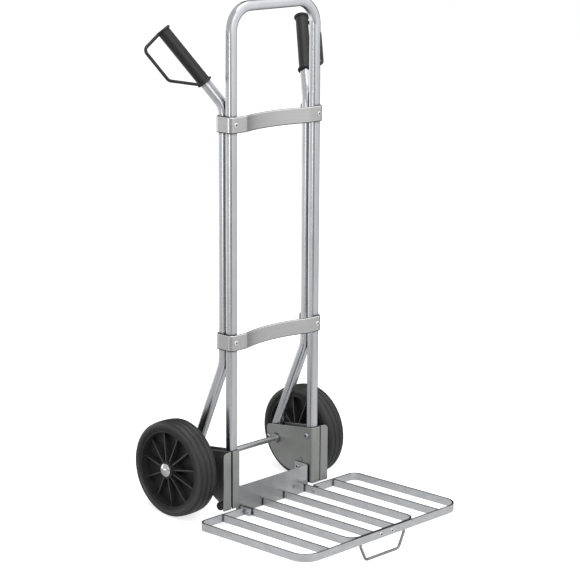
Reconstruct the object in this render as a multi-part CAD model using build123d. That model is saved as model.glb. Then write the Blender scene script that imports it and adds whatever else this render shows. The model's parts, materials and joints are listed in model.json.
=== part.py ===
from build123d import *
import os
from math import asin, atan2, degrees, hypot

# A two-wheeled hand truck of aluminium tube with a folding grate toe, in millimetres.
# It is drawn upright: X across, toe towards -Y, height zero at the foot of the brackets.
# The last section leans it back on to its wheels and its stand, as it is parked.

# Clearances
fit_gap = 0.1          # between pieces that are fixed together
run_gap = 0.05         # radial, between a turning piece and its pin or axle
side_gap = 0.3         # between faces that pass each other

# Tube of the frame and of the rear tubes: a square with round corners
tube_width = 25.0
tube_corner = 8.5
tube_wall = 2.0
tube_inside_chamfer = 4.0

# Front frame, one tube bent into an upside-down U
upright_spacing = 301.0
frame_height = 1287.0
frame_bend_radius = 62.5
frame_foot = 3.0

# Rear tubes, from the brackets up to the handles
brace_bend_height = 377.0
brace_bend_radius = 90.0
brace_foot_y = 159.0
brace_foot_height = 98.0
brace_tail = 14.0
handle_bend_height = 1030.0
handle_bend_radius = 65.0
handle_out = 99.0
handle_back = 115.0
handle_rise = 187.0

# Grips with hand guards
grip_length = 168.0
grip_diameter = 32.5
grip_collar_diameter = 40.0
grip_collar_width = 7.0
grip_collar_edge = 2.0
grip_cap = 5.0
guard_diameter = 8.4
guard_side_count = 8
guard_reach = 79.0
guard_low = 62.0
guard_high = 158.0
guard_bend_radius = 14.0

# Crossbars, flat straps that wrap both tubes of a side and bow backwards between them
strap_thickness = 5.0
strap_height = 41.0
strap_pad = 33.5
strap_bow = 19.0
strap_kink_radius = 20.0
strap_return = 24.0
upper_strap_height = 986.0
lower_strap_height = 434.0

# Brackets, an inner and an outer cheek plate on each side
cheek_plate = 4.0
cheek_bend_radius = 4.0
cheek_rear = 167.0
cheek_front_height = 152.0
cheek_rear_height = 132.0
cheek_rear_straight = 12.0
cheek_arc_radius = 99.0
cheek_foot_length = 32.0
cheek_corner = 11.0
flange_reach = 27.0
flange_corner = 14.0

# Axle and wheels
axle_radius = 7.5
axle_y = 130.4
axle_height = 99.7
axle_sleeve_radius = 11.0
axle_sleeve_proud = 12.0
axle_end_beyond_hub = 5.0
wheel_radius = 125.0
wheel_width = 66.0
wheel_offset = 88.5
tyre_inner_radius = 103.0
tyre_crown = 2.0
tyre_shoulder = 4.0
tyre_side = 15.0
groove_spacing = 17.0
groove_width = 2.6
groove_depth = 2.6
groove_count = 4
rim_thickness = 6.0
rim_width = 58.0
web_thickness = 6.0
web_overlap = 2.0
rib_count = 11
rib_thickness = 3.2
rib_height_at_hub = 29.0
rib_height_at_rim = 14.0
hub_radius = 22.0
hub_length = 70.0
bearing_radius = 14.0
cap_radius = 17.5
cap_flange = 2.0
cap_height = 10.0

# Base plate between the brackets
base_plate = 3.0
base_front = 11.0
base_top = 50.0
base_bottom = -22.0
base_bend_radius = 4.0
tab_rear = 61.0
tab_bottom = 15.0

# Folding toe, flat bars on edge
toe_bar = 5.0
toe_bar_height = 20.0
toe_top = -1.0
toe_width = 588.0
toe_length = 379.0
toe_front_corner = 45.0
toe_rear_corner = 22.0
toe_ear_corner = 4.5
toe_rear_bar = -9.0
toe_ear_front = -30.0
toe_leg_inset = 31.0
toe_leg_corner = 30.0
toe_inner_bar_x = 40.0
toe_stop_gap = 0.5
toe_tail_corner = 9.0

# Hinge of the toe
hinge_y = -19.0
hinge_pin_radius = 4.0
hinge_pin_head = 4.9
hinge_pin_head_thickness = 2.4
hinge_pin_head_edge = 1.4
lug_thickness = 4.0
lug_half_height = 8.0
lug_foot_length = 56.0
lug_foot_top = 9.0

# Stand, a wire bail that swings under the toe
wire_radius = 3.5
wire_side_count = 12
stand_drop_below_bar = 6.0
stand_length = 54.0
stand_top_half = 90.0
stand_foot_half = 62.0
stand_bend_radius = 13.0
stand_split = 1.0
clip_thickness = 2.0
clip_half_width = 28.0

# Bumper at the foot of each bracket
bumper_radius = 11.0
bumper_length = 26.0
bumper_y = 20.0
bumper_height = 9.0
bumper_edge = 3.0

# Places that follow from the sizes above
upright_x = upright_spacing / 2
tube_inner_x = upright_x - tube_width / 2
tube_outer_x = upright_x + tube_width / 2
cheek_inner_x = tube_inner_x - fit_gap - cheek_plate
cheek_outer_x = tube_outer_x + fit_gap + cheek_plate
front_tube_y = cheek_plate + fit_gap + tube_width / 2
rear_tube_y = front_tube_y + tube_width + fit_gap
hinge_height = toe_top - toe_bar_height / 2
strap_pad_end = upright_x - strap_pad
toe_half_width = toe_width / 2
toe_front = -toe_length
toe_leg_x = upright_x - toe_leg_inset
toe_side_bar_x = (toe_leg_x + toe_half_width) / 2
base_middle = base_front + base_plate / 2
lug_middle_x = toe_leg_x + toe_bar / 2 + side_gap + lug_thickness / 2
lug_foot_end = lug_middle_x - lug_foot_length
ear_x = lug_middle_x + lug_thickness / 2 + side_gap + toe_bar / 2
toe_tail = base_front - toe_stop_gap
toe_front_bar = toe_front + toe_bar / 2
toe_inner_front_bar = toe_front_bar + toe_bar
stand_y = toe_inner_front_bar + toe_bar / 2 + side_gap + wire_radius
stand_height = hinge_height - stand_drop_below_bar
wheel_middle = upright_x + wheel_offset
hub_inner_x = wheel_middle - hub_length / 2
hub_outer_x = wheel_middle + hub_length / 2

across = Vector(1, 0, 0)
upwards = Vector(0, 0, 1)


def mirrored(shape):
    """The same piece on the left-hand side."""
    return mirror(shape, about=Plane.YZ)


def swept(outline, path, x_dir):
    """An outline swept along a path, square to its start."""
    start = Plane(origin=path @ 0, x_dir=x_dir, z_dir=path % 0)
    return sweep(start * outline, path=path)


def tube(path):
    """Hollow tube along a path that starts square to X."""
    inside = tube_width - 2 * tube_wall
    outline = RectangleRounded(tube_width, tube_width, tube_corner)
    bore = Rectangle(inside, inside)
    outline -= chamfer(bore.vertices(), tube_inside_chamfer)
    return swept(outline, path, across)


def strip(path, thickness, bottom, top):
    """Flat bar on edge along a path drawn in plan."""
    height = top - bottom
    outline = Pos(0, (top + bottom) / 2) * Rectangle(thickness, height)
    return swept(outline, path, upwards.cross(path % 0))


def rod_x(radius, x_from, x_to, y, z):
    """Round bar along X."""
    middle = (x_from + x_to) / 2
    return Pos(middle, y, z) * Rot(0, 90, 0) * Cylinder(radius, abs(x_to - x_from))


def side_prism(outline, x_from, x_to):
    """An outline drawn in the side view, Y by Z, extruded along X."""
    return Pos(x_from, 0, 0) * extrude(Plane.YZ * outline, amount=x_to - x_from)


def block(x_from, x_to, y_from, y_to, z_from, z_to):
    """Box between two corners, for cutting."""
    size = (x_to - x_from, y_to - y_from, z_to - z_from)
    middle = ((x_from + x_to) / 2, (y_from + y_to) / 2, (z_from + z_to) / 2)
    return Pos(*middle) * Box(*size)


def turned(outline):
    """A half section, radius by width, revolved about the axle of the right-hand wheel."""
    ring = revolve(Plane.XZ * outline, axis=Axis.Z)
    return Pos(wheel_middle, axle_y, axle_height) * Rot(0, 90, 0) * ring


# Frame and rear tubes

def brace_direction():
    """From the lower bend of a rear tube down into its bracket, in the side view."""
    run = Vector(0, brace_foot_y - rear_tube_y, brace_foot_height - brace_bend_height)
    return run.normalized()


def handle_direction():
    """From the upper bend of the right-hand rear tube up along its handle."""
    return Vector(handle_out, handle_back, handle_rise).normalized()


def handle_bend():
    return Vector(upright_x, rear_tube_y, handle_bend_height)


def handle_end():
    return handle_bend() + Vector(handle_out, handle_back, handle_rise)


def front_frame():
    foot = (-upright_x, front_tube_y, frame_foot)
    crown_z = frame_height - tube_width / 2
    path = FilletPolyline(
        foot,
        (-upright_x, front_tube_y, crown_z),
        (upright_x, front_tube_y, crown_z),
        (upright_x, front_tube_y, frame_foot),
        radius=frame_bend_radius,
    )
    return tube(path)


def rear_tube():
    foot = Vector(upright_x, brace_foot_y, brace_foot_height)
    path = FilletPolyline(
        foot + brace_direction() * brace_tail,
        (upright_x, rear_tube_y, brace_bend_height),
        handle_bend(),
        handle_end() - handle_direction() * grip_cap,
        radius=[brace_bend_radius, handle_bend_radius],
    )
    return tube(path)


# Grips

def grip():
    """Sleeve with two collars, a closed end and a guard bar on its outer side."""
    sleeve = Pos(0, 0, grip_length / 2) * Cylinder(grip_diameter / 2, grip_length)
    for collar_z in (grip_collar_width / 2, grip_length - grip_collar_width / 2):
        collar = Cylinder(grip_collar_diameter / 2, grip_collar_width)
        collar = chamfer(collar.edges().filter_by(GeomType.CIRCLE), grip_collar_edge)
        sleeve += Pos(0, 0, collar_z) * collar
    root = grip_diameter / 2 - guard_diameter / 4
    path = FilletPolyline(
        (root, 0, grip_length - grip_collar_width / 2),
        (guard_reach, 0, guard_high),
        (guard_reach, 0, guard_low),
        (root, 0, grip_collar_width / 2),
        radius=guard_bend_radius,
    )
    sleeve += swept(RegularPolygon(guard_diameter / 2, guard_side_count), path, Vector(0, 1, 0))
    width = tube_width + 2 * fit_gap
    pocket = RectangleRounded(width, width, tube_corner)
    depth = grip_length - grip_cap + fit_gap
    return sleeve, extrude(pocket, amount=depth)


def grip_right():
    along = handle_direction()
    outwards = Vector(0, 1, 0).cross(along)
    foot = handle_end() - along * grip_length
    place = Plane(origin=foot, x_dir=outwards, z_dir=along)
    sleeve, pocket = grip()
    # The tube keeps the turn that its bends give it, so the pocket is turned to match.
    tube_turn = Plane(origin=foot, x_dir=tube_side_at_handle(), z_dir=along)
    return place.location * sleeve - tube_turn.location * pocket


def tube_side_at_handle():
    """Where the tube's X side points once the upper bend has carried it over."""
    along = handle_direction()
    bend_axis = upwards.cross(along)
    angle = degrees(atan2(bend_axis.length, upwards.dot(along)))
    return across.rotate(Axis((0, 0, 0), bend_axis), angle)


# Crossbars

def strap(middle_height):
    """Strap from behind one rear tube, round the front of both uprights, to the other."""
    inner = strap_thickness / 2 + fit_gap
    pad_y = front_tube_y - tube_width / 2 - inner
    rear_y = rear_tube_y + tube_width / 2 + inner
    side_x = tube_outer_x + inner
    corner = tube_corner + inner
    # The bow and the bends at its ends are arcs that touch each other and the pads.
    reach = (strap_pad_end ** 2 + strap_bow ** 2) / (2 * strap_bow)
    bow_radius = reach - strap_kink_radius
    bow_centre = pad_y + strap_bow - bow_radius
    touch_x = strap_pad_end * bow_radius / reach
    touch_y = bow_centre + (pad_y + strap_kink_radius - bow_centre) * bow_radius / reach
    hook = FilletPolyline(
        (side_x - strap_return, rear_y),
        (side_x, rear_y),
        (side_x, pad_y),
        (strap_pad_end, pad_y),
        radius=corner,
    )
    kink = TangentArc((strap_pad_end, pad_y), (touch_x, touch_y), tangent=(-1, 0))
    bow = ThreePointArc((touch_x, touch_y), (0, pad_y + strap_bow), (-touch_x, touch_y))
    path = Wire([*hook.edges(), *kink.edges(), *bow.edges(),
                 *mirrored(kink).edges(), *mirrored(hook).edges()])
    bottom = middle_height - strap_height / 2
    return strip(path, strap_thickness, bottom, bottom + strap_height)


# Brackets

def cheek_outline():
    """Side view of a cheek plate, with a large arc from its rear edge to its foot."""
    arc_top = cheek_rear_height - cheek_rear_straight
    arc_low = arc_top - cheek_arc_radius
    arc_y = cheek_rear - cheek_arc_radius
    edges = Polyline(
        (arc_y, arc_low),
        (cheek_foot_length, 0),
        (0, 0),
        (0, cheek_front_height),
        (cheek_rear, cheek_rear_height),
        (cheek_rear, arc_top),
    )
    sweep_back = TangentArc((cheek_rear, arc_top), (arc_y, arc_low), tangent=(0, -1))
    outline = make_face([*edges.edges(), *sweep_back.edges()])
    corner = outline.vertices().sort_by_distance(Vector(cheek_rear, cheek_rear_height))[0]
    return fillet(corner, cheek_corner)


def cheek(middle_x, flange_end):
    """Plate with a bent front flange, trimmed to the side view."""
    radius = cheek_bend_radius + cheek_plate / 2
    path = FilletPolyline(
        (middle_x, cheek_rear),
        (middle_x, cheek_plate / 2),
        (flange_end, cheek_plate / 2),
        radius=radius,
    )
    body = strip(path, cheek_plate, 0, cheek_front_height)
    edge_x = middle_x - cheek_plate
    body &= side_prism(cheek_outline(), edge_x, edge_x + flange_end)
    body -= rod_x(axle_sleeve_radius + fit_gap, cheek_inner_x, cheek_outer_x, axle_y, axle_height)
    return body


def inner_cheek():
    return cheek(cheek_inner_x + cheek_plate / 2, tube_outer_x)


def outer_cheek():
    body = cheek(cheek_outer_x - cheek_plate / 2, cheek_outer_x + flange_reach)
    end_face = body.faces().sort_by(Axis.X)[-1]
    return fillet(end_face.edges().sort_by(Axis.Z)[-1], flange_corner)


def bumper():
    """Rubber bumper on the outside of the outer cheek, behind its flange."""
    body = rod_x(bumper_radius, cheek_outer_x, cheek_outer_x + bumper_length, bumper_y, bumper_height)
    return chamfer(body.edges().group_by(Axis.X)[-1], bumper_edge)


# Axle and wheels

def axle():
    end = hub_outer_x + axle_end_beyond_hub
    return rod_x(axle_radius, -end, end, axle_y, axle_height)


def axle_sleeve():
    """Sleeve through both cheeks that keeps the wheel at its distance."""
    x_from = cheek_inner_x - axle_sleeve_proud
    x_to = hub_inner_x - side_gap
    body = rod_x(axle_sleeve_radius, x_from, x_to, axle_y, axle_height)
    return body - rod_x(axle_radius + fit_gap, x_from, x_to, axle_y, axle_height)


def tyre():
    """Solid rubber tyre with a crowned, grooved tread."""
    half = wheel_width / 2
    tread_edge = wheel_radius - tyre_crown
    shoulder = half - tyre_shoulder
    side_top = tyre_inner_radius + tyre_side
    lines = Polyline(
        (tread_edge, shoulder),
        (side_top, half),
        (tyre_inner_radius, half),
        (tyre_inner_radius, -half),
        (side_top, -half),
        (tread_edge, -shoulder),
    )
    tread = ThreePointArc((tread_edge, -shoulder), (wheel_radius, 0), (tread_edge, shoulder))
    section = make_face([*lines.edges(), *tread.edges()])
    for index in range(groove_count):
        middle = (index - (groove_count - 1) / 2) * groove_spacing
        groove = Polyline(
            (wheel_radius - groove_depth - tyre_crown / 2, middle),
            (wheel_radius + tyre_crown, middle + groove_width),
            (wheel_radius + tyre_crown, middle - groove_width),
            close=True,
        )
        section -= make_face(groove.edges())
    return turned(section)


def rim():
    """Plastic rim: ring, web and hub, with radial ribs that fall away to the ring."""
    ring_radius = tyre_inner_radius - fit_gap
    ring_inside = ring_radius - rim_thickness
    ring = Pos((ring_radius + ring_inside) / 2, 0) * Rectangle(rim_thickness, rim_width)
    web_length = ring_inside - hub_radius + web_overlap
    web = Pos((hub_radius + ring_inside) / 2, 0) * Rectangle(web_length, web_thickness)
    bore = bearing_radius + run_gap
    hub = Pos((hub_radius + bore) / 2, 0) * Rectangle(hub_radius - bore, hub_length)
    body = revolve(Plane.XZ * (ring + web + hub), axis=Axis.Z)
    overlap = (hub_radius - bore) / 2
    rib_outline = Polyline(
        (hub_radius - overlap, -rib_height_at_hub),
        (ring_inside + overlap, -rib_height_at_rim),
        (ring_inside + overlap, rib_height_at_rim),
        (hub_radius - overlap, rib_height_at_hub),
        close=True,
    )
    rib = extrude(Plane.XZ * make_face(rib_outline.edges()), amount=rib_thickness / 2, both=True)
    for index in range(rib_count):
        body += Rot(0, 0, index * 360 / rib_count) * rib
    return Pos(wheel_middle, axle_y, axle_height) * Rot(0, 90, 0) * body


def wheel_bearing():
    """Bearing sleeve pressed into the hub, which turns on the axle."""
    inside = axle_radius + run_gap
    section = Pos((bearing_radius + inside) / 2, 0) * Rectangle(bearing_radius - inside, hub_length)
    return turned(section)


def hub_cap():
    """Domed push-on cap that keeps the wheel on the axle."""
    base = hub_length / 2 + side_gap
    top = base + cap_height
    bore = axle_radius + fit_gap
    seat = hub_length / 2 + axle_end_beyond_hub + fit_gap
    edges = Polyline((0, top), (0, seat), (bore, seat), (bore, base), (cap_radius, base),
                     (cap_radius, base + cap_flange))
    dome = TangentArc((0, top), (cap_radius, base + cap_flange), tangent=(1, 0))
    return turned(make_face([*edges.edges(), *dome.edges()]))


# Base plate and the lugs of the toe's hinge

def base_plate_body():
    tab_x = cheek_inner_x - fit_gap - base_plate / 2
    path = FilletPolyline(
        (tab_x, tab_rear),
        (tab_x, base_middle),
        (-tab_x, base_middle),
        (-tab_x, tab_rear),
        radius=base_bend_radius + base_plate / 2,
    )
    body = strip(path, base_plate, base_bottom, base_top)
    bend_end = base_front + base_plate + base_bend_radius
    body -= block(-cheek_inner_x, cheek_inner_x, bend_end, tab_rear, base_bottom, tab_bottom)
    for side in (-1, 1):
        x = side * lug_middle_x
        half = lug_thickness / 2 + fit_gap
        body -= block(x - half, x + half, base_front, base_front + base_plate,
                      hinge_height - lug_half_height - fit_gap, hinge_height + lug_half_height + fit_gap)
    return body


def hinge_lug():
    """Angle whose foot is riveted behind the base plate and whose arm carries the toe."""
    foot_y = base_front + base_plate + fit_gap + lug_thickness / 2
    arm_front = hinge_y - lug_half_height
    path = FilletPolyline(
        (lug_foot_end, foot_y),
        (lug_middle_x, foot_y),
        (lug_middle_x, arm_front),
        radius=lug_thickness / 2 + fit_gap,
    )
    body = strip(path, lug_thickness, hinge_height - lug_half_height, lug_foot_top)
    body -= block(lug_foot_end, cheek_inner_x, arm_front, base_front + base_plate,
                  hinge_height + lug_half_height, lug_foot_top)
    nose = body.edges().filter_by(Axis.X).group_by(Axis.Y)[0]
    body = fillet(nose, lug_half_height - fit_gap)
    return body - rod_x(hinge_pin_radius + run_gap, lug_foot_end, cheek_inner_x, hinge_y, hinge_height)


# Folding toe

def toe_strip(path):
    return strip(path, toe_bar, toe_top - toe_bar_height, toe_top)


def pin_holes(radius):
    end = ear_x + toe_bar
    holes = [rod_x(radius, side * (toe_leg_x - toe_bar), side * end, hinge_y, hinge_height)
             for side in (-1, 1)]
    return Compound(holes)


def toe_outer_frame():
    """Bar bent round the outside of the toe, with an ear at each end for the hinge."""
    side_x = toe_half_width - toe_bar / 2
    corners = [
        (ear_x, toe_ear_front),
        (ear_x, toe_rear_bar),
        (side_x, toe_rear_bar),
        (side_x, toe_front_bar),
    ]
    points = corners + [(-x, y) for x, y in reversed(corners)]
    radii = [toe_ear_corner, toe_rear_corner, toe_front_corner]
    path = FilletPolyline(*points, radius=radii + radii[::-1])
    return toe_strip(path) - pin_holes(hinge_pin_radius + fit_gap)


def toe_side_bar():
    ends = (toe_rear_bar - toe_bar / 2, toe_front_bar + toe_bar / 2)
    return toe_strip(Line(*[(toe_side_bar_x, y) for y in ends]))


def toe_tail_rounded(body):
    """Rounds the upper rear corners, which pass the base plate as the toe folds."""
    tails = body.edges().filter_by(Axis.X).group_by(Axis.Y)[-1].group_by(Axis.Z)[-1]
    return fillet(tails, toe_tail_corner)


def toe_inner_frame():
    path = FilletPolyline(
        (toe_leg_x, toe_tail),
        (toe_leg_x, toe_inner_front_bar),
        (-toe_leg_x, toe_inner_front_bar),
        (-toe_leg_x, toe_tail),
        radius=toe_leg_corner,
    )
    return toe_tail_rounded(toe_strip(path)) - pin_holes(hinge_pin_radius + fit_gap)


def wire_notch():
    """Room for the wire of the stand at the lower front corner of an inner bar."""
    seat = toe_inner_front_bar + toe_bar / 2
    room = wire_radius + side_gap
    x_from = toe_inner_bar_x - toe_bar
    x_to = toe_inner_bar_x + toe_bar
    notch = rod_x(room, x_from, x_to, stand_y, stand_height)
    notch += block(x_from, x_to, seat, stand_y, stand_height, stand_height + room)
    notch += block(x_from, x_to, seat, stand_y + room, toe_top - toe_bar_height, stand_height)
    return notch


def toe_inner_bar():
    ends = (toe_tail, toe_inner_front_bar + toe_bar / 2)
    path = Line(*[(toe_inner_bar_x, y) for y in ends])
    return toe_tail_rounded(toe_strip(path)) - wire_notch()


def hinge_pins():
    """Rivets with two heads, fixed in the toe and free in the lug."""
    inner = toe_leg_x - toe_bar / 2
    outer = ear_x + toe_bar / 2
    body = rod_x(hinge_pin_radius, inner, outer, hinge_y, hinge_height)
    heads = ((inner - hinge_pin_head_thickness, inner, 0), (outer, outer + hinge_pin_head_thickness, -1))
    for x_from, x_to, rim_edge in heads:
        head = rod_x(hinge_pin_head, x_from, x_to, hinge_y, hinge_height)
        body += chamfer(head.edges().group_by(Axis.X)[rim_edge], hinge_pin_head_edge)
    return Compound([body, mirrored(body)])


# Stand

def stand_clip():
    """Strap riveted behind the front bars, curled round the wire of the stand."""
    seat = toe_inner_front_bar + toe_bar / 2
    curl = wire_radius + run_gap + clip_thickness
    tab_height = toe_top - toe_bar - stand_height
    section = Pos(stand_y, stand_height) * Circle(curl)
    section += Pos(seat + clip_thickness / 2, stand_height + tab_height / 2) * Rectangle(
        clip_thickness, tab_height)
    section -= Pos(stand_y, stand_height) * Circle(wire_radius + run_gap)
    section -= Pos(seat - curl, stand_height) * Rectangle(2 * curl, 4 * curl)
    return side_prism(section, -clip_half_width, clip_half_width)


def stand_bail():
    """Wire loop whose ends meet inside the clip."""
    half_split = stand_split / 2
    foot = stand_height - stand_length
    path = FilletPolyline(
        (half_split, stand_y, stand_height),
        (stand_top_half, stand_y, stand_height),
        (stand_foot_half, stand_y, foot),
        (-stand_foot_half, stand_y, foot),
        (-stand_top_half, stand_y, stand_height),
        (-half_split, stand_y, stand_height),
        radius=stand_bend_radius,
    )
    return swept(RegularPolygon(wire_radius, wire_side_count), path, Vector(0, 1, 0))


# Parked stance: a plane under both tyres and the foot of the stand becomes the floor

def lean_angle():
    """How far the upright lines of the truck lean back when it is parked."""
    run = axle_y - stand_y
    rise = axle_height - (stand_height - stand_length)
    between = hypot(run, rise)
    return degrees(atan2(rise, run) - asin((wheel_radius - wire_radius) / between))


def floor_drop(leaning):
    """Height of the floor once the truck has been turned to its parked lean."""
    axle_middle = leaning * Pos(0, axle_y, axle_height)
    return axle_middle.position.Z - wheel_radius


nodes = {
    "front_frame": front_frame(),
    "rear_tube_right": rear_tube(),
    "grip_right": grip_right(),
    "upper_crossbar": strap(upper_strap_height),
    "lower_crossbar": strap(lower_strap_height),
    "inner_cheek_right": inner_cheek(),
    "outer_cheek_right": outer_cheek(),
    "bumper_right": bumper(),
    "axle": axle(),
    "axle_sleeve_right": axle_sleeve(),
    "hub_cap_right": hub_cap(),
    "tyre_right": tyre(),
    "rim_right": rim(),
    "wheel_bearing_right": wheel_bearing(),
    "base_plate": base_plate_body(),
    "hinge_lug_right": hinge_lug(),
    "toe_outer_frame": toe_outer_frame(),
    "toe_side_bar_right": toe_side_bar(),
    "toe_inner_frame": toe_inner_frame(),
    "toe_inner_bar_right": toe_inner_bar(),
    "toe_hinge_pins": hinge_pins(),
    "stand_clip": stand_clip(),
    "stand_bail": stand_bail(),
}
for name in [name for name in nodes if name.endswith("_right")]:
    nodes[name.replace("_right", "_left")] = mirrored(nodes[name])

leaning = Rot(-lean_angle(), 0, 0)
leaned = {name: [leaning * solid for solid in shape.solids()] for name, shape in nodes.items()}
boxes = [solid.bounding_box() for solids in leaned.values() for solid in solids]
middle_y = (min(box.min.Y for box in boxes) + max(box.max.Y for box in boxes)) / 2
stance = Pos(0, -middle_y, -floor_drop(leaning))

os.makedirs("parts", exist_ok=True)
for name, solids in leaned.items():
    export_step(Compound([stance * solid for solid in solids]), f"parts/{name}.step")

print(f"lean {lean_angle():.4f} degrees")
for label, point in (("axle", (0, axle_y, axle_height)), ("toe hinge", (0, hinge_y, hinge_height)),
                     ("stand hinge", (0, stand_y, stand_height)), ("bracket foot", (0, 0, 0))):
    place = (stance * leaning * Pos(*point)).position
    print(f"{label} at {place.X:.4f}, {place.Y:.4f}, {place.Z:.4f}")
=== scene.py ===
import json
from functools import cache
from math import atan2, cos, pi, radians, sin

import bmesh
import bpy
from bpy.props import FloatProperty, FloatVectorProperty, IntProperty, PointerProperty, StringProperty
from mathutils import Matrix, Vector

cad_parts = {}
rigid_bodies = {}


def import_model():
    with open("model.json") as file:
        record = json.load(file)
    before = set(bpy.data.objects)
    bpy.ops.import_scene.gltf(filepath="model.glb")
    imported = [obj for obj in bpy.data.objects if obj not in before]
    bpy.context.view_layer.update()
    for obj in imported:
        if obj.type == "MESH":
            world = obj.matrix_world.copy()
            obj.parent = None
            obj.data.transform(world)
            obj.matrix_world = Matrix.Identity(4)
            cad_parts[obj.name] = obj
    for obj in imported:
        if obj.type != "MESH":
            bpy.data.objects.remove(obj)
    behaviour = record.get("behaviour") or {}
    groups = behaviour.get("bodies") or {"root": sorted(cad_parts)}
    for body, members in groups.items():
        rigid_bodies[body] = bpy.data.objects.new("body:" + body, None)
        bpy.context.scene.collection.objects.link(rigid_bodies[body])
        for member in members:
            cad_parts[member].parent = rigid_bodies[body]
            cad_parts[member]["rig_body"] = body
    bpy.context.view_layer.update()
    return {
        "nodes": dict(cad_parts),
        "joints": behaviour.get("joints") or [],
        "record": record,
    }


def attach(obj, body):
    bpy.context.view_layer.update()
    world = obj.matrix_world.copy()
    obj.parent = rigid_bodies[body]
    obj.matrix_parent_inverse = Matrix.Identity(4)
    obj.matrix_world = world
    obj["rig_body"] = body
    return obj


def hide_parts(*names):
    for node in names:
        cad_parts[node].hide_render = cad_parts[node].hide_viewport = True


bl_info = {
    "name": "Hand Truck Dresser",
    "version": (1, 0, 0),
    "blender": (4, 5, 0),
    "location": "View3D > Sidebar > Hand Truck",
    "description": "Finishes, fasteners and a studio for a two-wheeled hand truck with a folding toe",
    "category": "Object",
}

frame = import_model()
MM = 0.001
SIDES = (-1, 1)
SIDE_NAMES = ("left", "right")

# The truck is drawn upright and parked leaning back; the toe's top face gives the lean.
TOE_TOP = next(mount for mount in frame["record"]["mounts"] if mount["name"] == "toe_top")
LEAN = atan2(TOE_TOP["axis"][1], TOE_TOP["axis"][2])
PARKED = Matrix.Rotation(-LEAN, 4, "X")
UPRIGHT = PARKED.inverted()
# Both wheels turn about one line, which runs through this point.
AXLE = Vector(next(joint for joint in frame["joints"] if joint["name"] == "wheel_right_spin")["pos_m"])
SLOTS = {part["node"]: part["material_slot"] for part in frame["record"]["subparts"]}

# Fasteners of a bracket, each as its distance behind the flange's face and above the foot
BOLT_PLACES = ((20.6 * MM, 128 * MM), (159 * MM, 98 * MM))
FLUSH_RIVET_PLACE = (40 * MM, 58 * MM)
TAB_SCREW_PLACES = ((37 * MM, 38 * MM), (50 * MM, 38 * MM))
# The base plate's end tabs, and its rivet above the brackets' foot
TAB_THICKNESS = 3 * MM
PLATE_RIVET_RISE = 3 * MM
# Heights of the fasteners
BOLT_HEAD_HEIGHT = 3.6 * MM
WASHER_HEIGHT = 1.6 * MM
NUT_HEIGHT = 6.5 * MM
BOLT_END_HEIGHT = 3 * MM
SCREW_HEAD_HEIGHT = 3 * MM
# A blind rivet's dome, as shares of its head's radius: distance from the middle and height
RIVET_DOME = ((1, 0), (1, 0.08), (0.94, 0.16), (0.8, 0.24), (0.62, 0.3))

# The seam between a bracket's flanges, which is darkened with painted shade: its depth, and the slack in
# telling the inner flange's edge
SEAM_DEPTH = 7 * MM
SEAM_SLACK = 0.05 * MM
# A tyre's section: its shoulder, the height over which its side starts to slope, and the tread's fall
SHOULDER_WIDTH = 4 * MM
SLOPE_HEIGHT = 18 * MM
TREAD_FALL = 2 * MM
TREAD_MARGIN = 0.5 * MM
# Depths under the tread where the painted shade of its grooves and the band of painted light on its side
# begin and are full
GROOVE_SHADE = (0.3 * MM, 0.9 * MM)
SIDE_BAND = (4 * MM, 5.5 * MM)
# Painted shade darkens a colour where another surface stands this close, darker by this power.
SHADE_REACH = 7 * MM
SHADE_DEPTH = 1.6
# A rim's web lies this close to the wheel's middle; its ribs run between these distances from the axle.
WEB_HALF = 9 * MM
RIBS_START = 23 * MM
RIBS_END = 95 * MM

# Points of a mesh that lie closer than this are one, and so are faces that meet at less than this angle.
MERGE = 0.002 * MM
FLAT = radians(0.5)
# A point this close to a plane or a circle lies on it.
TOUCH = 0.01 * MM
# Angles in degrees above which an edge stays sharp: plain pieces, bent bars, wire, mouldings, fasteners
CREASE = 32.0
BAR_CREASE = 40.0
WIRE_CREASE = 45.0
MOULDED_CREASE = 50.0
FASTENER_CREASE = 30.0

WHITE = (1, 1, 1, 1)
FLOOR_GREY = (0.8, 0.8, 0.8, 1)
FILM_WIDTH = 36.0
VIEW_REACH = 60
# Each lamp's name, its place and width in metres and its power in watts
LAMPS = (
    ("Key", (-2.6, -3.0, 4.4), 2.6, 110),
    ("Fill", (3.6, -2.4, 3.6), 2.4, 30),
    ("Top", (0.4, 0.8, 4.6), 2.6, 60),
)
LAMP_AIM = Vector((0, 0, 0.5))
# The tent of cards stands just clear of the floor.
CARD_LIFT = 2 * MM
TENT_SEGMENTS = 48
# Soft steps in the cards' light, from where each begins to where it is full. A turn is the cosine of the
# angle to a level direction, a reach is in metres from the middle, a rise is a share of the tent's radius.
ACROSS_TURN = (-0.8, 0.8)
SKY_TURN = (-0.6, 0.6)
BEHIND_TURN = (-0.75, -0.4)
STRIP_TURN = (0.83, 0.93)
GAP_TURN = (0.9, 0.98)
SLIM_TURN = (0.961, 0.99)
NEAR_REACH = (0.6, 1.2)
STRIP_REACH = (1.0, 1.9)
GAP_REACH = (2.3, 4.4)
SLIM_REACH = (2.3, 4.2)
NEAR_BACK = (-0.2, 0.35)
SKY_RISE = (0.08, 0.24)
BACK_WALL_RISE = 0.5
# How far the light strip and the slim lamp stand round to the left of the camera
STRIP_ANGLE = radians(122)
SLIM_ANGLE = radians(59)


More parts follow.
